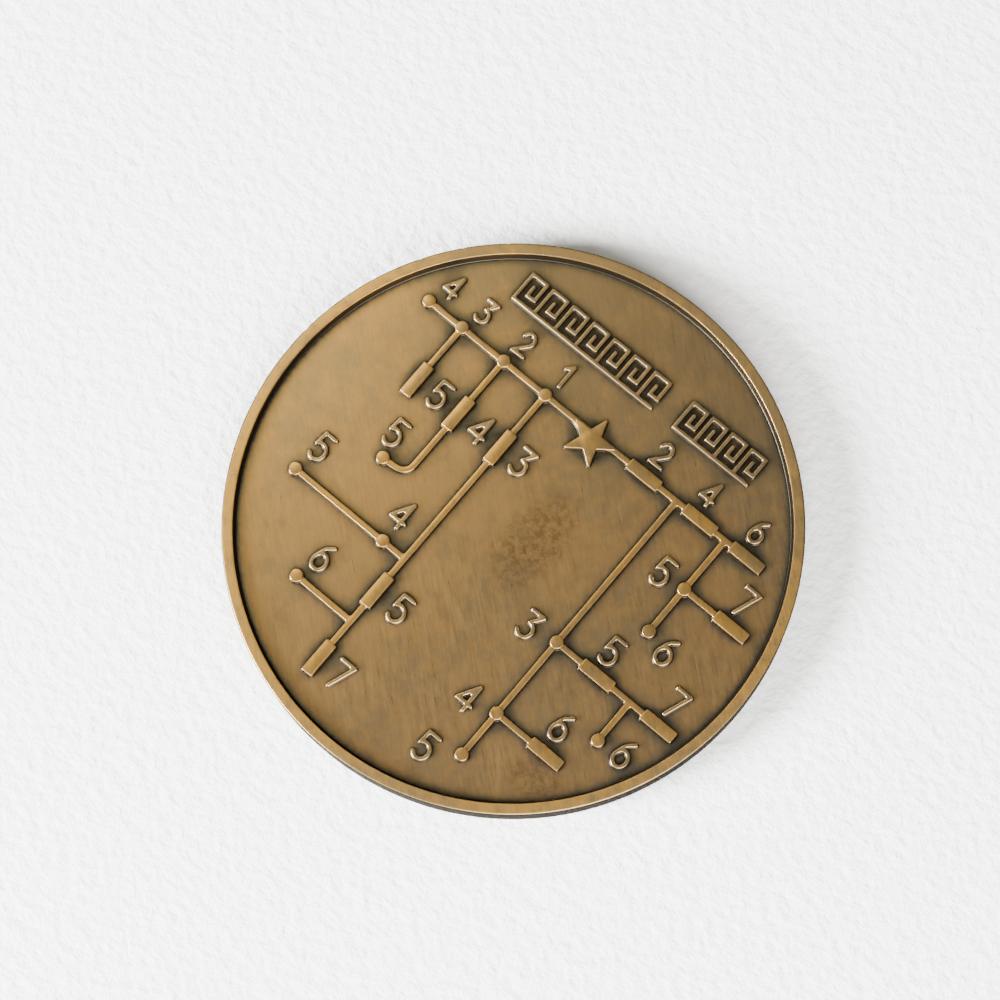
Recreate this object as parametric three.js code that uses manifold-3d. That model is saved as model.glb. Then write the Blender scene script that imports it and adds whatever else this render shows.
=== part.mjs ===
// Challenge coin: an antiqued bronze disc with a raised rim and, on its obverse, a branching
// code chart in relief. The chart starts at a star, and every station on it is a round pad
// (dot) or a long pad (bar). Millimetres, +Z up. The coin lies flat with its obverse up: the
// origin is the centre of the reverse rim's flat, +X is the chart's reading direction.
import * as THREE from 'three';
import { mergeVertices } from 'three/addons/utils/BufferGeometryUtils.js';
import Module from 'manifold-3d';

// ---- driving dimensions ----
const COIN_DIAMETER = 44.45;
const COIN_THICKNESS = 3.0;
const RIM_FLAT_OUTER = 22.08; // radius where the outer edge starts to round over
const RIM_FLAT_INNER = 21.36; // radius of the flat's inner edge
const RIM_LEDGE_RADIUS = 21.28; // the rim's inner wall has one ledge half way down
const RIM_LEDGE_WIDTH = 0.04;
const RIM_FOOT_RADIUS = 21.2; // where the inner wall meets the field
const FIELD_DEPTH = 0.8; // rim flat down to the field, on each face
const ROUND_SEGMENTS = 96;

const TRACK_WIDTH = 0.5;
const TRACK_HEIGHT = 0.3;
const DOT_DIAMETER = 1.1;
const BAR_LENGTH = 3.0;
const BAR_WIDTH = 1.0;
const CAP_HEIGHT = 0.1; // dots, bars and the star stand this much above the tracks
const STAR_RADIUS = 2.32;
const STAR_INNER_SHARE = (3 - Math.sqrt(5)) / 2; // inner to outer radius of a regular star

const STROKE_WIDTH = 0.34; // numerals and fret
const STROKE_HEIGHT = 0.3;
const NUMERAL_HEIGHT = 2.55; // over the strokes
const TOP_NUMERAL_HEIGHT = 2.25; // the numerals above the top row are smaller
const NUMERAL_WIDTH_SHARE = 0.62;
const FRET_BOTTOM = 13.65;
const FRET_HEIGHT = 2.75;
const FRET_GAP_SHARE = 0.3; // of each unit, between one hook and the next
const FRET_RUNS = [
  { name: 'fret_long', start: -11.75, length: 14.1, units: 7 },
  { name: 'fret_short', start: 4.35, length: 7.45, units: 4 },
];

const REVERSE_RING_RADIUS = 14.0;
const REVERSE_STAR_RADIUS = 5.0;
const REVERSE_SPOKES = 5; // one from each point of the star to the ring
const REVERSE_DOT_DIAMETER = 2.2;
const REVERSE_BAR = [4.4, 1.5];
const REVERSE_TRACK_WIDTH = 0.7;
const REVERSE_RELIEF = 0.3;

const DOT_SEGMENTS = 16;
const CAP_SEGMENTS = 4;
const SIMPLIFY_TOLERANCE = 0.002;
const ORIGIN = new THREE.Vector2(0, 0);

const FIELD_Z = COIN_THICKNESS - FIELD_DEPTH;

// ---- chart layout: columns and rows of the code tree ----
const STAR = [0.3, 8.85];
const TOP_ROW = 9.4;
const COLUMN = { dddd: -16.4, ddd: -13.05, dd: -8.85, d: -4.65, bd: 8.4, bbd: 13.2, bdbd: 15.55 };
const ROW = { bars: 4.0, bbd: 4.5, bd: -4.8, dbd: -7.3, bdd: -11.85, dbbd: -13.55 };

// A station's code is its path from the star: d for a dot, b for a bar. Each has its place,
// and the offset of its numeral. Bars lie along x unless they are upright.
const STATIONS = [
  { code: 'd', at: [COLUMN.d, TOP_ROW], label: [0.3, 2.15] },
  { code: 'dd', at: [COLUMN.dd, TOP_ROW], label: [0.4, 2.15] },
  { code: 'ddd', at: [COLUMN.ddd, TOP_ROW], label: [0.6, 2.15] },
  { code: 'dddd', at: [COLUMN.dddd, TOP_ROW], label: [0.7, 2.15] },
  { code: 'dddb', at: [COLUMN.ddd, ROW.bars], label: [2.15, 0.2], upright: true },
  { code: 'ddb', at: [COLUMN.dd, ROW.bars], label: [2.1, 0.2], upright: true },
  { code: 'ddbd', at: [-11.05, -2.35], label: [-0.5, 2.1] },
  { code: 'db', at: [COLUMN.d, ROW.bars], label: [2.05, 0.2], upright: true },
  { code: 'dbd', at: [-6.8, ROW.dbd], label: [-0.25, 2.55] },
  { code: 'dbdd', at: [-15.65, ROW.dbd], label: [0.45, 2.55] },
  { code: 'dbb', at: [COLUMN.d, -10.5], label: [2.3, 0], upright: true },
  { code: 'dbbd', at: [-10.1, ROW.dbbd], label: [0.6, 2.35] },
  { code: 'dbbb', at: [COLUMN.d, -17.25], label: [2.05, 0], upright: true },
  { code: 'b', at: [5.2, TOP_ROW], label: [0.1, 2.15] },
  { code: 'bb', at: [10.7, TOP_ROW], label: [-0.7, 2.15] },
  { code: 'bbb', at: [15.3, TOP_ROW], label: [-0.6, 2.15] },
  { code: 'bd', at: [COLUMN.bd, ROW.bd], label: [-2.45, -0.3] },
  { code: 'bdd', at: [COLUMN.bd, ROW.bdd], label: [-2.5, -0.35] },
  { code: 'bddd', at: [COLUMN.bd, -15.9], label: [-2.5, -1.3] },
  { code: 'bddb', at: [13.2, ROW.bdd], label: [-0.4, 2.3] },
  { code: 'bdb', at: [12.35, ROW.bd], label: [-0.3, 2.1] },
  { code: 'bdbb', at: [18.35, ROW.bd], label: [-0.1, 2.1] },
  { code: 'bdbd', at: [COLUMN.bdbd, -8.55], label: [2.15, 0.45] },
  { code: 'bbd', at: [COLUMN.bbd, ROW.bbd], label: [-2.1, 0] },
  { code: 'bbdd', at: [COLUMN.bbd, 0.3], label: [2.0, -0.35] },
  { code: 'bbdb', at: [17.75, ROW.bbd], label: [-0.4, 2.15] },
];
const station = Object.fromEntries(STATIONS.map((s) => [s.code, s.at]));

// Tracks run between stations and corners. The second branch of the left half turns a bend.
const bend = new THREE.QuadraticBezierCurve(
  new THREE.Vector2(COLUMN.dd, -1.3),
  new THREE.Vector2(COLUMN.dd, -2.15),
  new THREE.Vector2(-9.9, -2.3),
);
const TRACKS = [
  [station.dddd, station.bbb],
  [station.ddd, station.dddb],
  [station.dd, ...bend.getPoints(6).map((p) => [p.x, p.y]), station.ddbd],
  [station.d, station.dbbb],
  [station.dbdd, [COLUMN.d, ROW.dbd]],
  [station.dbbd, [COLUMN.d, ROW.dbbd]],
  [[COLUMN.bd, TOP_ROW], station.bddd],
  [[COLUMN.bbd, TOP_ROW], station.bbdd],
  [station.bd, station.bdbb],
  [[COLUMN.bdbd, ROW.bd], station.bdbd],
  [station.bdd, station.bddb],
  [station.bbd, station.bbdb],
];

// ---- materials ----
function bronze(name, color, roughness) {
  return new THREE.MeshStandardMaterial({ name, color, roughness, metalness: 1 });
}
const fieldBronze = () => bronze('field_bronze', 0x7c6444, 0.5);
const rimBronze = () => bronze('rim_bronze', 0xb08a50, 0.35);
const reliefBronze = () => bronze('relief_bronze', 0x9a7c52, 0.4);
const strokeBronze = () => bronze('stroke_bronze', 0x8e7850, 0.4);

// ---- solids ----
const wasm = await Module();
wasm.setup();

function toSolid(geometry) {
  const bare = geometry.clone();
  bare.deleteAttribute('normal');
  bare.deleteAttribute('uv');
  const merged = mergeVertices(bare, 1e-5);
  const vertProperties = merged.attributes.position.array;
  return new wasm.Manifold(new wasm.Mesh({ numProp: 3, vertProperties, triVerts: merged.index.array }));
}

function toGeometry(solid) {
  const mesh = solid.getMesh();
  const geometry = new THREE.BufferGeometry();
  geometry.setAttribute('position', new THREE.BufferAttribute(mesh.vertProperties, 3));
  geometry.setIndex(new THREE.BufferAttribute(mesh.triVerts, 1));
  geometry.computeVertexNormals();
  return geometry;
}

// Joins solids, and drops the vertices that the joins leave along straight edges.
function union(solids) {
  const whole = solids.reduce((sum, next) => sum.add(next));
  return whole.asOriginal().simplify(SIMPLIFY_TOLERANCE);
}

function prism(shape, bottom, height, curveSegments = DOT_SEGMENTS / 2) {
  const settings = { depth: height, bevelEnabled: false, curveSegments };
  return toSolid(new THREE.ExtrudeGeometry(shape, settings).translate(0, 0, bottom));
}

// The sideways offset of each point of a path, so that a stroke's corners are mitred.
function mitres(path, closed, half) {
  const last = path.length - 1;
  const normals = path.slice(1).map((p, i) => {
    const along = p.clone().sub(path[i]).normalize();
    return new THREE.Vector2(-along.y, along.x);
  });
  return path.map((_, i) => {
    const before = normals[i > 0 ? i - 1 : closed ? last - 1 : 0];
    const after = normals[i < last ? i : closed ? 0 : last - 1];
    const middle = before.clone().add(after).normalize();
    return middle.multiplyScalar(half / middle.dot(before));
  });
}

// A stroke of even width. An open path has round or square ends, and a closed one, drawn
// counterclockwise, becomes a loop.
function ribbon(points, width, roundEnds = true) {
  const path = points.map(([x, y]) => new THREE.Vector2(x, y));
  const last = path.length - 1;
  const closed = path[0].distanceTo(path[last]) < 1e-6;
  const offset = mitres(path, closed, width / 2);
  const right = path.map((p, i) => p.clone().sub(offset[i]));
  const left = path.map((p, i) => p.clone().add(offset[i])).reverse();
  if (closed) {
    const loop = new THREE.Shape(right.slice(1));
    loop.holes.push(new THREE.Path(left.slice(1)));
    return loop;
  }
  if (!roundEnds) {
    return new THREE.Shape([...right, ...left]);
  }
  const roundEnd = (i, side) => Array.from({ length: CAP_SEGMENTS - 1 }, (_, k) => {
    const turn = (Math.PI * (k + 1)) / CAP_SEGMENTS;
    return path[i].clone().add(offset[i].clone().multiplyScalar(side).rotateAround(ORIGIN, turn));
  });
  return new THREE.Shape([...right, ...roundEnd(last, -1), ...left, ...roundEnd(0, 1)]);
}

function circleShape(x, y, radius) {
  const shape = new THREE.Shape();
  shape.absarc(x, y, radius, 0, 2 * Math.PI, false);
  return shape;
}

function boxShape(x, y, width, height) {
  const shape = new THREE.Shape();
  shape.moveTo(x - width / 2, y - height / 2);
  shape.lineTo(x + width / 2, y - height / 2);
  shape.lineTo(x + width / 2, y + height / 2);
  shape.lineTo(x - width / 2, y + height / 2);
  shape.closePath();
  return shape;
}

function starShape(x, y, radius) {
  const shape = new THREE.Shape();
  for (let k = 0; k < 10; k += 1) {
    const reach = k % 2 ? radius * STAR_INNER_SHARE : radius;
    const angle = Math.PI / 2 + (k * Math.PI) / 5;
    const corner = [x + reach * Math.cos(angle), y + reach * Math.sin(angle)];
    if (k === 0) {
      shape.moveTo(...corner);
    } else {
      shape.lineTo(...corner);
    }
  }
  shape.closePath();
  return shape;
}

function padShape({ code, at, upright }) {
  if (code.endsWith('d')) {
    return circleShape(...at, DOT_DIAMETER / 2);
  }
  const size = upright ? [BAR_WIDTH, BAR_LENGTH] : [BAR_LENGTH, BAR_WIDTH];
  return boxShape(...at, ...size);
}

// ---- disc and rim ----
function disc() {
  const profile = [
    [0, FIELD_DEPTH],
    [RIM_FOOT_RADIUS, FIELD_DEPTH],
    [RIM_FOOT_RADIUS, FIELD_Z],
    [0, FIELD_Z],
  ];
  return new THREE.LatheGeometry(profile.map(([r, z]) => new THREE.Vector2(r, z)), ROUND_SEGMENTS);
}

function rim() {
  const outer = COIN_DIAMETER / 2;
  const round = outer - RIM_FLAT_OUTER;
  const middle = COIN_THICKNESS / 2;
  const ledgeDepth = FIELD_DEPTH / 2;
  // Half of the section, from the middle of the edge over the top to the field.
  const half = [
    [outer, middle - round],
    [outer - round * (1 - Math.SQRT1_2), middle - round * (1 - Math.SQRT1_2)],
    [RIM_FLAT_OUTER, middle],
    [RIM_FLAT_INNER, middle],
    [RIM_LEDGE_RADIUS + RIM_LEDGE_WIDTH, middle - ledgeDepth],
    [RIM_LEDGE_RADIUS, middle - ledgeDepth],
    [RIM_FOOT_RADIUS, middle - FIELD_DEPTH],
  ];
  const mirrored = half.map(([r, z]) => [r, -z]).reverse();
  const section = [...half, ...mirrored, half[0]];
  const points = section.map(([r, z]) => new THREE.Vector2(r, z + middle));
  return new THREE.LatheGeometry(points, ROUND_SEGMENTS);
}

// ---- numerals and fret ----
function arc(cx, cy, rx, ry, fromDegrees, toDegrees, steps) {
  return Array.from({ length: steps + 1 }, (_, i) => {
    const angle = THREE.MathUtils.degToRad(fromDegrees + ((toDegrees - fromDegrees) * i) / steps);
    return [cx + rx * Math.cos(angle), cy + ry * Math.sin(angle)];
  });
}

// Centre lines of the numerals 1 to 7 in a box one unit wide and one unit high.
const NUMERALS = {
  1: [[[0.12, 0.76], [0.55, 1], [0.55, 0]]],
  2: [[...arc(0.5, 0.7, 0.47, 0.3, 165, -25, 6), [0, 0], [1, 0]]],
  3: [[[0.05, 1], [0.95, 1], [0.45, 0.6], ...arc(0.45, 0.3, 0.5, 0.3, 75, -150, 7)]],
  4: [[[0.78, 0], [0.78, 1]], [[0.78, 1], [0, 0.26], [1.04, 0.26]]],
  5: [[[0.92, 1], [0.14, 1], [0.08, 0.55], ...arc(0.47, 0.32, 0.5, 0.32, 110, -145, 8)]],
  6: [arc(0.5, 0.31, 0.47, 0.31, 0, 360, 12), [[0.08, 0.45], [0.3, 0.8], [0.75, 1]]],
  7: [[[0, 1], [1, 1], [0.35, 0]]],
};

function unitsAlong(code) {
  return [...code].reduce((sum, step) => sum + (step === 'd' ? 1 : 2), 0);
}

function numeral({ code, at, label }) {
  const tall = at[1] === TOP_ROW ? TOP_NUMERAL_HEIGHT : NUMERAL_HEIGHT;
  const height = tall - STROKE_WIDTH;
  const width = tall * NUMERAL_WIDTH_SHARE - STROKE_WIDTH;
  const left = at[0] + label[0] - width / 2;
  const bottom = at[1] + label[1] - height / 2;
  const place = ([x, y]) => [left + x * width, bottom + y * height];
  const strokes = NUMERALS[unitsAlong(code)].map((stroke) => stroke.map(place));
  return union(strokes.map((stroke) => prism(ribbon(stroke, STROKE_WIDTH), FIELD_Z, STROKE_HEIGHT)));
}

// A key fret: one base line, and in each unit a square hook that rises from it and turns in.
function fret({ start, length, units }) {
  const half = STROKE_WIDTH / 2;
  const pitch = (length - STROKE_WIDTH) / (units - FRET_GAP_SHARE);
  const reach = pitch * (1 - FRET_GAP_SHARE);
  const line = (x0, y0, x1, y1) => {
    const size = [x1 - x0 + STROKE_WIDTH, y1 - y0 + STROKE_WIDTH];
    return prism(boxShape((x0 + x1) / 2, (y0 + y1) / 2, ...size), FIELD_Z, STROKE_HEIGHT);
  };
  const bottom = FRET_BOTTOM + half;
  const top = FRET_BOTTOM + FRET_HEIGHT - half;
  const low = bottom + (top - bottom) / 3;
  const tip = bottom + ((top - bottom) * 2) / 3;
  const lines = [line(start + half, bottom, start + length - half, bottom)];
  for (let k = 0; k < units; k += 1) {
    const left = start + half + k * pitch;
    const right = left + reach;
    const inner = left + reach / 2;
    lines.push(line(left, bottom, left, top), line(left, top, right, top), line(right, low, right, top));
    lines.push(line(inner, low, right, low), line(inner, low, inner, tip));
  }
  return union(lines);
}

// ---- chart: the tracks with the base of each pad and of the star, and the caps on them ----
function tracks() {
  const lines = TRACKS.map((path) => ribbon(path, TRACK_WIDTH, false));
  const shapes = [...lines, ...STATIONS.map(padShape), starShape(...STAR, STAR_RADIUS)];
  return union(shapes.map((shape) => prism(shape, FIELD_Z, TRACK_HEIGHT)));
}

function cap(shape) {
  return toGeometry(prism(shape, FIELD_Z + TRACK_HEIGHT, CAP_HEIGHT));
}

// ---- reverse: a star whose spokes reach a ring of round and long pads ----
function reverseEmblem() {
  const bottom = FIELD_DEPTH - REVERSE_RELIEF;
  const raised = (shape, segments) => prism(shape, bottom, REVERSE_RELIEF, segments);
  const ring = circleShape(0, 0, REVERSE_RING_RADIUS + REVERSE_TRACK_WIDTH / 2);
  ring.holes.push(circleShape(0, 0, REVERSE_RING_RADIUS - REVERSE_TRACK_WIDTH / 2));
  const solids = [raised(ring, ROUND_SEGMENTS / 4), raised(starShape(0, 0, REVERSE_STAR_RADIUS))];
  for (let k = 0; k < REVERSE_SPOKES; k += 1) {
    const turn = (360 * k) / REVERSE_SPOKES;
    const spoke = [[0, 0], [0, REVERSE_RING_RADIUS]];
    const pieces = [raised(ribbon(spoke, REVERSE_TRACK_WIDTH, false))];
    pieces.push(raised(circleShape(0, REVERSE_RING_RADIUS, REVERSE_DOT_DIAMETER / 2)));
    const bar = raised(boxShape(0, REVERSE_RING_RADIUS, ...REVERSE_BAR));
    pieces.push(bar.rotate([0, 0, 180 / REVERSE_SPOKES]));
    solids.push(...pieces.map((solid) => solid.rotate([0, 0, turn])));
  }
  return union(solids);
}

// ---- the coin ----
const coin = new THREE.Group();
coin.name = 'challenge_coin';

function add(name, geometry, material) {
  const mesh = new THREE.Mesh(geometry, material);
  mesh.name = name;
  coin.add(mesh);
}

// LatheGeometry turns its profile about Y, so the round pieces are stood up to turn about Z.
add('planchet', disc().rotateX(Math.PI / 2), fieldBronze());
add('rim', rim().rotateX(Math.PI / 2), rimBronze());
add('tracks', toGeometry(tracks()), reliefBronze());
add('star', cap(starShape(...STAR, STAR_RADIUS)), reliefBronze());
for (const pad of STATIONS) {
  const kind = pad.code.endsWith('d') ? 'dot' : 'bar';
  add(`${kind}_${pad.code}`, cap(padShape(pad)), reliefBronze());
  add(`numeral_${pad.code}`, toGeometry(numeral(pad)), strokeBronze());
}
for (const run of FRET_RUNS) {
  add(run.name, toGeometry(fret(run)), strokeBronze());
}
add('reverse_emblem', toGeometry(reverseEmblem()), reliefBronze());

export default coin;
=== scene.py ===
"""An antiqued bronze challenge coin, struck in relief, on a pale floor.

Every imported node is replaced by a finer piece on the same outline, with rounded struck edges,
leaning walls and filleted feet. Shapes are worked out from the frame in millimetres, and are
turned into metres when a mesh is made. The obverse faces +Z.
"""

import math

import bmesh
import bpy
import numpy as np
from mathutils import Matrix, Vector
from mathutils.geometry import delaunay_2d_cdt


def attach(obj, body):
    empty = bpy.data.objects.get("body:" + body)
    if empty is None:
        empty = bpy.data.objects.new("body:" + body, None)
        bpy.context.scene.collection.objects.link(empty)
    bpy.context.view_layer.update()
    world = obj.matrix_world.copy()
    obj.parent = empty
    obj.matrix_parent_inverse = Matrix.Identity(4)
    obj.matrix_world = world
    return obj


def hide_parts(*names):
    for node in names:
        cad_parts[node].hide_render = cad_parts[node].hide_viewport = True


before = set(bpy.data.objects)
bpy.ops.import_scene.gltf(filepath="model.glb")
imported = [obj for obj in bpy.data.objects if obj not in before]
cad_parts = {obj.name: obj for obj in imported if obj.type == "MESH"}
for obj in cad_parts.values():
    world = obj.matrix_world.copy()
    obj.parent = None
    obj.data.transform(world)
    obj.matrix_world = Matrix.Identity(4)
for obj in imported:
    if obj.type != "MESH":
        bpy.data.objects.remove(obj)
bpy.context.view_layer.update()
MM = 0.001

# ---- camera (angles in degrees, azimuth from +X towards +Y, distances in metres) ----
CAMERA_AZIMUTH = 316.98
CAMERA_ELEVATION = 78.19
CAMERA_DISTANCE = 0.2232
CAMERA_CLIP = 0.01
CAMERA_ROLL = 7.0
CAMERA_LENS = 104.3
CAMERA_SHIFT = (-0.0136, 0.0313)

# ---- relief: how the struck edges differ from the sharp CAD ones ----
# edge is the rounded edge's width and depth, lean the wall's and foot the radius of its fillet.
PAD_EDGE = {"edge": (0.05, 0.06), "lean": 0.04, "foot": 0.04}
TRACK_EDGE = {"edge": (0.05, 0.06), "lean": 0.04, "foot": 0.04}
STROKE_EDGE = {"edge": (0.07, 0.08), "lean": 0.03, "foot": 0.04}
SKIRT = 0.06  # how far a piece reaches below the field
CROWN = 0.003  # how much the middle of a top face stands above its edge
SUPPORT = 0.02  # width of the flat band that keeps the shading of a top face even

# ---- rounding of outlines ----
SHORTEST_EDGE = 0.04
SHARP_TURN = math.radians(50)
STRAIGHT_TURN = math.radians(1)
CLEAR_OF_SHARP = 0.12  # no gentle bend lies closer than this to a sharp corner
ARC_STEP = math.radians(12)


# ---- reading the frame ----
def node_points(name):
    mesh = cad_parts[name].data
    points = np.empty(3 * len(mesh.vertices))
    mesh.vertices.foreach_get("co", points)
    return points.reshape(-1, 3) / MM


def face_loops(name, side):
    """The outlines of a node's flat top (side 1) or bottom (side -1) face, seen from that side."""
    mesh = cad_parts[name].data
    points = node_points(name)
    points[:, 1:] *= side
    level = points[:, 2].max()
    corners = {}
    merged = [corners.setdefault(tuple(np.round(p[:2], 3)), len(corners)) for p in points]
    flat = points[:, 2] > level - 0.01
    edges = set()
    for face in mesh.polygons:
        if all(flat[i] for i in face.vertices):
            ids = [merged[i] for i in face.vertices]
            edges.update(zip(ids, ids[1:] + ids[:1]))
    following = {a: b for a, b in edges if (b, a) not in edges}
    places = np.array(list(corners))
    loops = []
    while following:
        start, corner = following.popitem()
        loop = [start]
        while corner != start:
            loop.append(corner)
            corner = following.pop(corner)
        loops.append(places[loop])
    return loops


FIELD_TOP = node_points("planchet")[:, 2].max()
FIELD_BOTTOM = node_points("planchet")[:, 2].min()
RIM_POINTS = node_points("rim")
RIM_RADII = np.hypot(RIM_POINTS[:, 0], RIM_POINTS[:, 1])
RIM_TOP = RIM_POINTS[:, 2].max()
RIM_OUTER = RIM_RADII.max()
RIM_FOOT = RIM_RADII.min()
RIM_FLAT = RIM_RADII[RIM_POINTS[:, 2] > RIM_TOP - 0.01]


# ---- outlines ----
def unit(vectors):
    return vectors / np.linalg.norm(vectors, axis=1)[:, None]


def turns(loop):
    """The angle that the outline turns through at each of its corners, positive to the left."""
    after = unit(np.roll(loop, -1, 0) - loop)
    before = np.roll(after, 1, 0)
    cross = before[:, 0] * after[:, 1] - before[:, 1] * after[:, 0]
    return np.arctan2(cross, (before * after).sum(1))


def cleaned(loop):
    """The loop without needless points: on a straight, on a very short edge or by a sharp corner."""
    while True:
        turn = np.abs(turns(loop))
        length = np.linalg.norm(np.roll(loop, -1, 0) - loop, axis=1)
        before = np.roll(length, 1)
        by_sharp = (np.roll(turn, -1) > SHARP_TURN) & (length < CLEAR_OF_SHARP)
        by_sharp |= (np.roll(turn, 1) > SHARP_TURN) & (before < CLEAR_OF_SHARP)
        short = np.minimum(length, before) < SHORTEST_EDGE
        needless = (turn < STRAIGHT_TURN) | ((turn < SHARP_TURN) & by_sharp) | short
        if not needless.any():
            return loop
        weakest = np.argmin(np.where(needless, turn, np.inf))
        loop = np.delete(loop, weakest, 0)


def rounded(loop, convex, concave):
    """The loop with an arc at each corner: of a given radius where it is sharp, else of the largest."""
    turn = turns(loop)
    along = unit(np.roll(loop, -1, 0) - loop)
    before = np.roll(along, 1, 0)
    length = np.linalg.norm(np.roll(loop, -1, 0) - loop, axis=1)
    room = np.minimum(length, np.roll(length, 1)) * 0.499
    half = np.tan(np.abs(turn) / 2)
    radius = np.where(turn > 0, convex, concave)
    tangent = np.where(np.abs(turn) > SHARP_TURN, np.minimum(radius * half, room), room)
    points = []
    for corner, angle, reach, way_in, spread in zip(loop, turn, tangent, before, half):
        steps = max(1, math.ceil(abs(angle) / ARC_STEP))
        start = corner - reach * way_in
        inwards = np.array([-way_in[1], way_in[0]]) * math.copysign(reach / spread, angle)
        centre = start + inwards
        for t in np.linspace(0, angle, steps + 1):
            turned = np.array([[math.cos(t), -math.sin(t)], [math.sin(t), math.cos(t)]]) @ -inwards
            points.append(centre + turned)
    return np.array(points)


def meetings(starts, towards, onwards_from, onwards):
    """Where each line of one set crosses its partner, or the partner's start if they are parallel."""
    cross = towards[:, 0] * onwards[:, 1] - towards[:, 1] * onwards[:, 0]
    gap = onwards_from - starts
    parallel = np.abs(cross) < 1e-4
    reach = (gap[:, 0] * onwards[:, 1] - gap[:, 1] * onwards[:, 0]) / np.where(parallel, 1, cross)
    return np.where(parallel[:, None], onwards_from, starts + towards * reach[:, None])


def offset(loop, distance):
    """The loop with every edge moved outwards. An edge that this turns back closes to a point."""
    along = unit(np.roll(loop, -1, 0) - loop)
    start = loop + distance * np.column_stack([along[:, 1], -along[:, 0]])
    kept = np.arange(len(loop))
    while True:
        last = np.roll(kept, 1)
        corners = meetings(start[last], along[last], start[kept], along[kept])
        length = ((np.roll(corners, -1, 0) - corners) * along[kept]).sum(1)
        if length.min() > 0 or len(kept) == 3:
            break
        kept = np.delete(kept, length.argmin())
    return corners[np.searchsorted(kept, np.arange(len(loop))) % len(kept)]


# ---- meshes ----
def quarter_turn(count):
    """Evenly spaced angles from 0 to a right angle."""
    return np.linspace(0, math.pi / 2, count)


def profile(height, edge, lean, foot):
    """(outward offset, height above the field) from the middle of the top face to the skirt."""
    width, depth = edge
    brink = -lean / 2 - width
    steps = [(brink - SUPPORT, height + CROWN)]
    for t in quarter_turn(6):
        steps.append((brink + width * math.sin(t), height - depth + depth * math.cos(t)))
    for t in quarter_turn(5):
        steps.append((lean / 2 + foot * (1 - math.cos(t)), foot * (1 - math.sin(t))))
    return [*steps, (lean / 2 + foot, -SKIRT)]


def inside(places, loops):
    """Whether each place lies within an odd number of the loops."""
    starts = np.concatenate(loops)
    ends = np.concatenate([np.roll(loop, -1, 0) for loop in loops])
    x, y = places[:, :1], places[:, 1:]
    rise = ends[:, 1] - starts[:, 1]
    slope = (ends[:, 0] - starts[:, 0]) / np.where(rise == 0, 1, rise)
    straddled = (starts[:, 1] > y) != (ends[:, 1] > y)
    return (straddled & (x > starts[:, 0] + slope * (y - starts[:, 1]))).sum(1) % 2 == 1


def lid(loops):
    """Triangles that fill flat loops, as indices into the loops' points taken together."""
    points = np.concatenate(loops)
    places = {}
    edges = []
    for loop in loops:
        ids = [places.setdefault(tuple(np.round(p, 6)), len(places)) for p in loop]
        edges += [(a, b) for a, b in zip(ids, ids[1:] + ids[:1]) if a != b]
    user = {places[tuple(np.round(p, 6))]: k for k, p in enumerate(points)}
    _, _, faces, sources, _, _ = delaunay_2d_cdt([Vector(p) for p in places], edges, [], 1, 1e-7)
    triangles = np.array([[user[sources[v][0]] for v in face] for face in faces])
    return triangles[inside(points[triangles].mean(1), loops)].tolist()


def new_piece(name, points, faces, material, replaced):
    mesh = bpy.data.meshes.new(name)
    mesh.from_pydata(points * MM, [], faces)
    work = bmesh.new()
    work.from_mesh(mesh)
    bmesh.ops.remove_doubles(work, verts=work.verts, dist=1e-8)
    bmesh.ops.dissolve_degenerate(work, edges=work.edges, dist=1e-8)
    bmesh.ops.recalc_face_normals(work, faces=work.faces)
    work.to_mesh(mesh)
    work.free()
    mesh.shade_smooth()
    mesh.materials.append(material)
    piece = bpy.data.objects.new(name, mesh)
    bpy.context.scene.collection.objects.link(piece)
    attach(piece, "root")
    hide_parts(replaced)
    return piece


def relief(name, material, shape, corners, side=1):
    """A struck piece on a node's outline, from below the field to the node's height above it."""
    field = FIELD_TOP if side > 0 else -FIELD_BOTTOM
    height = (node_points(name)[:, 2] * side).max() - field
    outlines = [rounded(cleaned(loop), *corners) for loop in face_loops(name, side)]
    steps = profile(height, **shape)
    rings = []
    for reach, level in steps:
        for loop in outlines:
            moved = offset(loop, reach)
            rings.append(np.column_stack([moved, np.full(len(moved), field + level)]))
    points = np.concatenate(rings)
    points[:, 1:] *= side
    count = sum(len(loop) for loop in outlines)
    faces = []
    for layer in range(len(steps) - 1):
        start = layer * count
        for loop in outlines:
            size = len(loop)
            for k in range(size):
                a, b = start + k, start + (k + 1) % size
                faces.append((a, a + count, b + count, b))
            start += size
    top = lid([ring[:, :2] for ring in rings[: len(outlines)]])
    bottom = lid([ring[:, :2] for ring in rings[-len(outlines) :]])
    deepest = (len(steps) - 1) * count
    faces += [tuple(t) for t in top]
    faces += [tuple(deepest + v for v in reversed(t)) for t in bottom]
    return new_piece(f"{name}_struck", points, faces, material, name)


# ---- patina: how much dark toning lies on each spot of the field ----
GRID_STEP = 0.05
GRID_HALF = 23.0
GRID_COUNT = int(2 * GRID_HALF / GRID_STEP)
RIM_SHARE = 0.65  # how much toning the rim draws, against a relief's 1
NEAR_BLUR = 0.14
WIDE_BLUR = 0.8
HALO_TONING = 0.75  # the most that the broad halo adds
HALO_NEAR, HALO_WIDE = 0.4, 2.8  # how fast each blurred map fills the halo
CLOSE_TONING = 0.46  # the most that is added close to the relief


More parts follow.
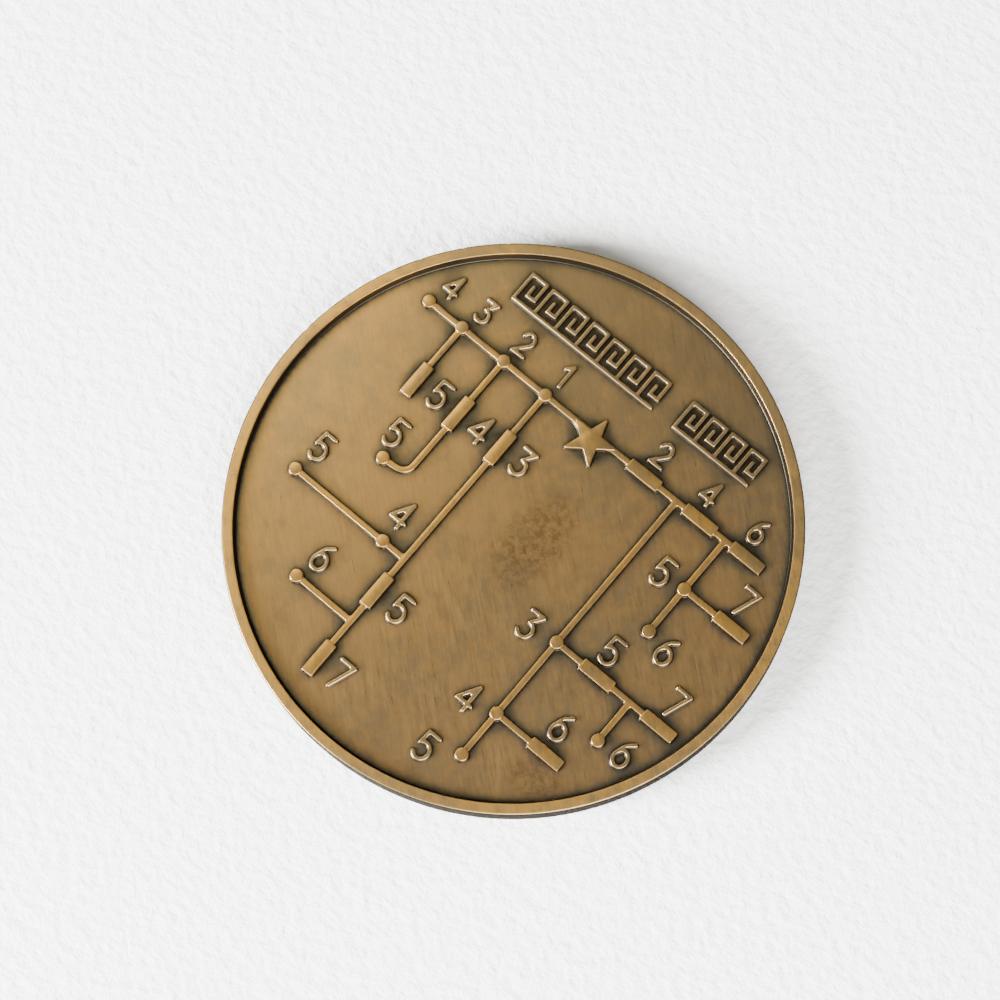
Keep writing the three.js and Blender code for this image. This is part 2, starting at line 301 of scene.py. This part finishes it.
def raised_map(loops, wall_radius):
    """A square map of one face: 1 on the relief, 0 on the field and RIM_SHARE on the rim."""
    rows = (np.arange(GRID_COUNT) + 0.5) * GRID_STEP - GRID_HALF
    flips = np.zeros((GRID_COUNT, GRID_COUNT + 1), dtype=int)
    for loop in loops:
        for (x0, y0), (x1, y1) in zip(loop, np.roll(loop, -1, 0)):
            hit = np.flatnonzero((rows > min(y0, y1)) & (rows <= max(y0, y1)))
            if len(hit):
                x = x0 + (x1 - x0) * (rows[hit] - y0) / (y1 - y0)
                column = np.round((x + GRID_HALF) / GRID_STEP).astype(int)
                np.add.at(flips, (hit, column), 1)
    covered = np.cumsum(flips, axis=1)[:, :-1] % 2
    radius = np.hypot(rows[:, None], rows[None, :])
    return np.where(radius > wall_radius, RIM_SHARE, covered)


def blurred(image, sigma):
    frequency = np.fft.fftfreq(GRID_COUNT, GRID_STEP)
    across = np.fft.rfftfreq(GRID_COUNT, GRID_STEP)
    squared = frequency[:, None] ** 2 + across[None, :] ** 2
    gauss = np.exp(-2 * (math.pi * sigma) ** 2 * squared)
    return np.fft.irfft2(np.fft.rfft2(image) * gauss, image.shape)


def patina(loops):
    """A map of the toning: a broad soft halo, and a dark line close to the relief."""
    raised = raised_map(loops, RIM_FOOT)
    near = blurred(raised, NEAR_BLUR)
    wide = blurred(raised, WIDE_BLUR)
    halo = np.clip(HALO_NEAR * near + HALO_WIDE * wide, 0, 1)
    return HALO_TONING * halo + CLOSE_TONING * near


# ---- disc ----
OBVERSE_SPACING = 0.15  # between the rings of points
REVERSE_SPACING = 0.3
RIM_OVERLAP = 0.05  # how far the disc reaches into the rim


def field_rings(radius, spacing):
    """Points of a flat disc in rings, and its triangles. Ring k has 6 k points."""
    count = round(radius / spacing)
    points = [(0.0, 0.0)]
    faces = []
    inner, inner_start = 1, 0
    for k in range(1, count + 1):
        size = 6 * k
        start = len(points)
        reach = radius * k / count
        for j in range(size):
            angle = 2 * math.pi * j / size
            points.append((reach * math.cos(angle), reach * math.sin(angle)))
        for sector in range(6):
            for j in range(k):
                a = start + (sector * k + j) % size
                b = start + (sector * k + j + 1) % size
                c = inner_start + (sector * (k - 1) + j) % inner
                faces.append((a, b, c))
                if j < k - 1:
                    faces.append((b, inner_start + (sector * (k - 1) + j + 1) % inner, c))
        inner, inner_start = size, start
    return np.array(points), faces


def planchet(material):
    """The coin's disc: two fields that meet at an edge hidden in the rim."""
    radius = RIM_FOOT + RIM_OVERLAP
    points, faces, shades = [], [], []
    start = 0
    for side, spacing, level in ((1, OBVERSE_SPACING, FIELD_TOP), (-1, REVERSE_SPACING, FIELD_BOTTOM)):
        flat, triangles = field_rings(radius, spacing)
        names = OBVERSE_RELIEF if side > 0 else REVERSE_RELIEF
        shade = patina([loop for name in names for loop in face_loops(name, side)])
        cell = ((flat + GRID_HALF) / GRID_STEP).astype(int)
        shades.append(shade[cell[:, 1], cell[:, 0]])
        points.append(np.column_stack([flat[:, 0], flat[:, 1] * side, np.full(len(flat), level)]))
        faces += [tuple(start + v for v in t) for t in triangles]
        start += len(flat)
    top_count = round(radius / OBVERSE_SPACING) * 6
    bottom_count = round(radius / REVERSE_SPACING) * 6
    top_start = len(points[0]) - top_count
    bottom_start = start - bottom_count
    share = top_count // bottom_count
    for j in range(bottom_count):
        low = bottom_start + (-j) % bottom_count
        low_next = bottom_start + (-j - 1) % bottom_count
        high = [top_start + (share * j + k) % top_count for k in range(share + 1)]
        faces.append((low, low_next, *reversed(high)))
    piece = new_piece("planchet_struck", np.concatenate(points), faces, material, "planchet")
    layer = piece.data.attributes.new("patina", "FLOAT", "POINT")
    layer.data.foreach_set("value", np.concatenate(shades))
    return piece


# ---- rim ----
RIM_SEGMENTS = 720
NICKS = (121, 131, 140, 149, 176)  # where the outer edge is dented, by azimuth in degrees
NICK_DEPTH = 0.05
NICK_WIDTH = 0.35  # in degrees
NICKED_ABOVE = 0.6  # the height, as a share of the half rim's, from which the edge is dented
LIP = 0.03  # radius of the inner edge of the flat
RIM_FOOT_FILLET = 0.04
WALL_HEIGHTS = (0.8, 0.45, 0.1)  # where the inner wall has points, as shares of its height


def rim_half():
    """(radius, height above the middle) from the middle of the edge over the flat to the field."""
    middle = RIM_TOP / 2
    outer = RIM_FLAT.max()
    inner = RIM_FLAT.min()
    round_radius = RIM_OUTER - outer
    depth = RIM_TOP - FIELD_TOP
    steps = [(RIM_OUTER, z) for z in np.linspace(0, middle - round_radius, 8)]
    for t in quarter_turn(8)[1:]:
        steps.append((outer + round_radius * math.cos(t), middle - round_radius * (1 - math.sin(t))))
    steps += [(r, middle) for r in np.linspace(outer, inner + LIP, 6)[1:]]
    for t in quarter_turn(5)[1:]:
        steps.append((inner + LIP * (1 - math.sin(t)), middle - LIP * (1 - math.cos(t))))
    for share in WALL_HEIGHTS:
        steps.append((RIM_FOOT + (inner - RIM_FOOT) * share, middle - depth * (1 - share)))
    foot = RIM_FOOT_FILLET
    for t in quarter_turn(5):
        steps.append((RIM_FOOT - foot * (1 - math.cos(t)), middle - depth + foot * (1 - math.sin(t))))
    return [*steps, (RIM_FOOT - foot, middle - depth - SKIRT)]


def rim(material):
    """The rim as a ring that closes on itself, with small dents in the obverse's outer edge."""
    half = rim_half()
    section = half + [(r, -z) for r, z in reversed(half[1:])]
    angle = 2 * math.pi * np.arange(RIM_SEGMENTS) / RIM_SEGMENTS
    dent = np.zeros(RIM_SEGMENTS)
    for nick in NICKS:
        away = (np.degrees(angle) - nick + 180) % 360 - 180
        dent += NICK_DEPTH * np.exp(-((away / NICK_WIDTH) ** 2))
    outer = RIM_FLAT.max()
    rings = []
    for r, z in section:
        near_edge = np.clip((r - outer) / (RIM_OUTER - outer), 0, 1)
        radius = r - dent * near_edge * (z > NICKED_ABOVE * RIM_TOP / 2)
        level = np.full(RIM_SEGMENTS, z + RIM_TOP / 2)
        rings.append(np.column_stack([radius * np.cos(angle), radius * np.sin(angle), level]))
    faces = []
    for k in range(len(section)):
        low = k * RIM_SEGMENTS
        high = (k + 1) % len(section) * RIM_SEGMENTS
        for j in range(RIM_SEGMENTS):
            after = (j + 1) % RIM_SEGMENTS
            faces.append((low + j, low + after, high + after, high + j))
    return new_piece("rim_struck", np.concatenate(rings), faces, material, "rim")


# ---- materials ----
class Surface:
    """A material's nodes. Vectors are in millimetres on the object."""

    def __init__(self, name):
        self.material = bpy.data.materials.new(name)
        self.material.use_nodes = True
        self.tree = self.material.node_tree
        self.tree.nodes.clear()
        place = self.add("TexCoord").outputs["Object"]
        scaled = self.add("VectorMath", {0: place, "Scale": 1 / MM}, operation="SCALE")
        self.place = scaled.outputs[0]
        apart = self.add("SeparateXYZ", {0: self.place})
        self.x, self.y, self.z = apart.outputs

    def add(self, kind, values=None, **settings):
        node = self.tree.nodes.new(f"ShaderNode{kind}")
        for key, value in settings.items():
            setattr(node, key, value)
        for key, value in (values or {}).items():
            if isinstance(value, bpy.types.NodeSocket):
                self.tree.links.new(value, node.inputs[key])
            else:
                node.inputs[key].default_value = value
        return node

    def math(self, operation, a, b=0.0):
        return self.add("Math", {0: a, 1: b}, operation=operation).outputs[0]

    def fade(self, value, start, end, low=0.0, high=1.0):
        """Goes smoothly from low to high as the value goes from start to end."""
        keys = {0: value, 1: start, 2: end, 3: low, 4: high}
        return self.add("MapRange", keys, interpolation_type="SMOOTHSTEP").outputs[0]

    def mix(self, share, a, b, blend="MIX"):
        return self.add("MixRGB", {0: share, 1: a, 2: b}, blend_type=blend).outputs[0]

    def noise(self, scale, detail=3.0, roughness=0.5, distortion=0.0, vector=None):
        keys = {"Vector": vector or self.place, "Scale": scale, "Detail": detail}
        keys |= {"Roughness": roughness, "Distortion": distortion}
        return self.add("TexNoise", keys).outputs[0]

    def stretched(self, azimuth, along, across):
        """Coordinates that change slowly along one direction of the coin's plane, and fast across."""
        turned = self.add("VectorRotate", {0: self.place, "Angle": math.radians(-azimuth)})
        keys = {0: turned.outputs[0], 1: (along, across, across)}
        return self.add("VectorMath", keys, operation="MULTIPLY").outputs[0]


GOLD = (0.62, 0.355, 0.095, 1)  # rubbed bright
OLIVE = (0.44, 0.270, 0.112, 1)  # the open field
WORN = (0.47, 0.315, 0.138, 1)  # the tops of the strokes
GREYED = (0.27, 0.205, 0.120, 1)  # thin toning that is left in patches, and painted shade that greys the bronze towards +y
TONED = (0.094, 0.082, 0.058, 1)
BLACKENED = (0.042, 0.035, 0.026, 1)
BROWN = (0.150, 0.088, 0.046, 1)  # the stains
DARK_GRAZING = (0.04, 0.03, 0.02, 1)  # keeps the coin's edge dark at a flat angle
GRAIN_AZIMUTH = 320  # the direction that the metal is brushed in
GRAIN_BUMP = 0.009 * MM
# Oval stains on the field: x, y, half width, half height and how brown the middle is.
STAINS = ((2.0, 0.0, 3.0, 5.5, 0.6), (14.0, -14.0, 3.0, 2.5, 0.5))


def bronze(slot, clean, toned, roughness, toned_roughness, texture, grazing=(1, 1, 1, 1)):
    """Antiqued bronze. clean is the colour where the toning is rubbed off. toned is given the
    material's nodes and mottling, and returns how much toning is left and how stained it is.
    grazing tints what is seen at a flat angle."""
    m = Surface(f"{slot}_struck")
    broad = m.noise(0.13, 3.0, 0.55)
    mottle = m.noise(1.1, 4.0, 0.6)
    fine = m.noise(9.0, 3.0, 0.6)
    grain = m.noise(1.0, 3.0, 0.65, vector=m.stretched(GRAIN_AZIMUTH, 0.6, 8.0))

    tone_and_shade = m.math("ADD", m.math("MULTIPLY", broad, 0.5), m.math("MULTIPLY", mottle, 0.5))
    # Painted shade: the bronze greys towards +y for the duller reflection on that side; the noise tone
    # above is the metal's own.
    tone_and_shade = m.math("ADD", tone_and_shade, m.fade(m.y, 4.0, 20.0, 0.0, 0.18))
    colour = m.mix(m.fade(tone_and_shade, 0.42, 0.68, 0.0, 0.7), clean, GREYED)
    streak = m.fade(grain, 0.3, 0.7, 0.94, 1.06)
    streak_grey = m.add("CombineColor", {0: streak, 1: streak, 2: streak}).outputs[0]
    colour = m.mix(1.0, colour, streak_grey, "MULTIPLY")
    left, stained = toned(m, mottle)
    colour = m.mix(m.fade(left, 0.0, 0.85), colour, TONED)
    colour = m.mix(m.fade(left, 0.75, 1.0), colour, BLACKENED)
    colour = m.mix(stained, colour, BROWN)

    rough = m.fade(left, 0.0, 1.0, roughness, toned_roughness)
    rough = m.math("ADD", rough, m.fade(grain, 0.2, 0.8, -0.03, 0.03))
    height = m.math("ADD", m.math("MULTIPLY", grain, 0.4), m.math("MULTIPLY", fine, 0.5))
    bump = m.add("Bump", {"Strength": texture, "Distance": GRAIN_BUMP, "Height": height})
    keys = {"Base Color": colour, "Metallic": 1.0, "Roughness": rough, "Normal": bump.outputs[0]}
    keys["Specular Tint"] = grazing
    shader = m.add("BsdfPrincipled", keys)
    m.add("OutputMaterial", {0: shader.outputs[0]})
    return m.material


def field_toning(m, mottle):
    """Toned beside the relief and the rim, and in a few stains."""
    halo = m.add("Attribute", attribute_name="patina").outputs["Fac"]
    left = m.math("MULTIPLY", m.fade(halo, 0.0, 0.95), m.fade(mottle, 0.25, 0.75, 0.9, 1.05))
    blots = m.fade(m.noise(1.8, 5.0, 0.7), 0.42, 0.60, 0.25, 1.0)
    stained = 0.0
    for x, y, half_width, half_height, depth in STAINS:
        aside = m.math("DIVIDE", m.math("SUBTRACT", m.x, x), half_width)
        above = m.math("DIVIDE", m.math("SUBTRACT", m.y, y), half_height)
        away = m.math("ADD", m.math("MULTIPLY", aside, aside), m.math("MULTIPLY", above, above))
        stain = m.math("MULTIPLY", m.fade(away, 1.0, 0.1, 0.0, depth), blots)
        stained = m.math("ADD", stained, stain)
    return left, stained


def relief_toning(height, clean_share):
    """Toned down a relief's walls and at its foot, on both faces, and rubbed clean on its top."""
    middle = (FIELD_TOP + FIELD_BOTTOM) / 2

    def toned(m, mottle):
        from_middle = m.math("ABSOLUTE", m.math("SUBTRACT", m.z, middle))
        above_field = m.math("SUBTRACT", from_middle, FIELD_TOP - middle)
        return m.fade(above_field, clean_share * height, 0.05 * height, 0.04, 1.0), 0.0

    return toned


def rim_toning(m, mottle):
    """Toned on the rim's inner wall and on the coin's edge, and a little in patches on its flat."""
    level_place = m.add("CombineXYZ", {0: m.x, 1: m.y}).outputs[0]
    radius = m.add("VectorMath", {0: level_place}, operation="LENGTH").outputs["Value"]
    wall = m.fade(radius, RIM_FLAT.min() + 0.01, RIM_FLAT.min() - 0.03, 0.0, 0.9)
    edge = m.fade(radius, RIM_FLAT.max() + 0.02, RIM_OUTER - 0.04, 0.0, 0.95)
    patch = m.fade(mottle, 0.50, 0.75, 0.0, 0.3)
    return m.math("MAXIMUM", m.math("MAXIMUM", wall, edge), patch), 0.0


def floor_paint():
    """Matt white with a fine uneven texture."""
    m = Surface("floor_paint")
    texture = m.noise(1.0, 3.0, 0.55)
    bump = m.add("Bump", {"Strength": 0.8, "Distance": 0.3 * MM, "Height": texture})
    keys = {"Base Color": (0.98, 0.98, 0.98, 1), "Roughness": 0.9, "Normal": bump.outputs[0]}
    m.add("OutputMaterial", {0: m.add("BsdfPrincipled", keys).outputs[0]})
    return m.material


# ---- the coin ----
RELIEF_NAMES = sorted(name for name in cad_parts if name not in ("planchet", "rim"))
REVERSE_RELIEF = ["reverse_emblem"]
STROKES = [name for name in RELIEF_NAMES if name.startswith(("numeral", "fret"))]
OBVERSE_RELIEF = ["tracks", *STROKES]  # what stands on the field; the pads stand on the tracks
STROKE_CORNERS = (0.16, 0.12)  # the radius of an outline's outward corners and of its inward ones
TRACK_CORNERS = (0.13, 0.15)
PAD_CORNERS = (0.12, 0.15)

TRACK_HEIGHT = node_points("tracks")[:, 2].max() - FIELD_TOP
STROKE_HEIGHT = node_points("fret_long")[:, 2].max() - FIELD_TOP

field_bronze = bronze("field_bronze", OLIVE, field_toning, 0.30, 0.38, 0.5)
rim_bronze = bronze("rim_bronze", GOLD, rim_toning, 0.34, 0.40, 0.4, grazing=DARK_GRAZING)
relief_bronze = bronze("relief_bronze", GOLD, relief_toning(TRACK_HEIGHT, 0.85), 0.30, 0.24, 0.35)
stroke_bronze = bronze("stroke_bronze", WORN, relief_toning(STROKE_HEIGHT, 0.80), 0.30, 0.30, 0.35)

planchet(field_bronze)
rim(rim_bronze)
for name in RELIEF_NAMES:
    if name in STROKES:
        relief(name, stroke_bronze, STROKE_EDGE, STROKE_CORNERS)
    elif name in REVERSE_RELIEF:
        relief(name, relief_bronze, TRACK_EDGE, TRACK_CORNERS, side=-1)
    elif name == "tracks":
        relief(name, relief_bronze, TRACK_EDGE, TRACK_CORNERS)
    else:
        relief(name, relief_bronze, PAD_EDGE, PAD_CORNERS)


# ---- floor, light and camera, in metres ----
FLOOR_HALF = 3.0
SKY_STRENGTH = 0.25
WARM = (1.0, 0.89, 0.46)
SOFT_WHITE = (1.0, 0.985, 0.96)


def stage():
    mesh = bpy.data.meshes.new("floor")
    half = FLOOR_HALF
    corners = [(-half, -half, 0), (half, -half, 0), (half, half, 0), (-half, half, 0)]
    mesh.from_pydata(corners, [], [(0, 1, 2, 3)])
    mesh.materials.append(floor_paint())
    floor = bpy.data.objects.new("floor", mesh)
    bpy.context.scene.collection.objects.link(floor)


def direction(azimuth, elevation):
    """The unit vector that points there from the coin, with the angles in degrees."""
    az, el = math.radians(azimuth), math.radians(elevation)
    return Vector((math.cos(el) * math.cos(az), math.cos(el) * math.sin(az), math.sin(el)))


def soft_light(name, azimuth, elevation, distance, size, power, colour=(1, 1, 1)):
    """A round lamp that faces the coin, with its power in watts."""
    light = bpy.data.lights.new(name, "AREA")
    light.color = colour
    light.shape = "DISK"
    light.size = size
    light.energy = power
    lamp = bpy.data.objects.new(name, light)
    towards = direction(azimuth, elevation)
    lamp.location = towards * distance
    lamp.rotation_euler = towards.to_track_quat("Z", "Y").to_euler()
    bpy.context.scene.collection.objects.link(lamp)


def camera():
    lens = bpy.data.cameras.new("camera")
    lens.lens = CAMERA_LENS
    lens.shift_x, lens.shift_y = CAMERA_SHIFT
    lens.clip_start = CAMERA_CLIP
    away = direction(CAMERA_AZIMUTH, CAMERA_ELEVATION)
    holder = bpy.data.objects.new("camera", lens)
    holder.location = away * CAMERA_DISTANCE
    level = away.to_track_quat("Z", "Y")
    rolled = level.to_matrix() @ Matrix.Rotation(math.radians(-CAMERA_ROLL), 3, "Z")
    holder.rotation_euler = rolled.to_euler()
    bpy.context.scene.collection.objects.link(holder)
    bpy.context.scene.camera = holder


def sky(strength):
    world = bpy.data.worlds.new("sky")
    world.use_nodes = True
    background = world.node_tree.nodes["Background"]
    background.inputs["Color"].default_value = (1, 1, 1, 1)
    background.inputs["Strength"].default_value = strength
    bpy.context.scene.world = world


stage()
sky(SKY_STRENGTH)
soft_light("window", azimuth=161, elevation=63.5, distance=0.40, size=0.09, power=0.20, colour=WARM)
soft_light("side", azimuth=238, elevation=25, distance=0.70, size=0.32, power=46.0)
soft_light("fill", azimuth=325, elevation=38, distance=0.80, size=0.70, power=24.0, colour=SOFT_WHITE)
camera()
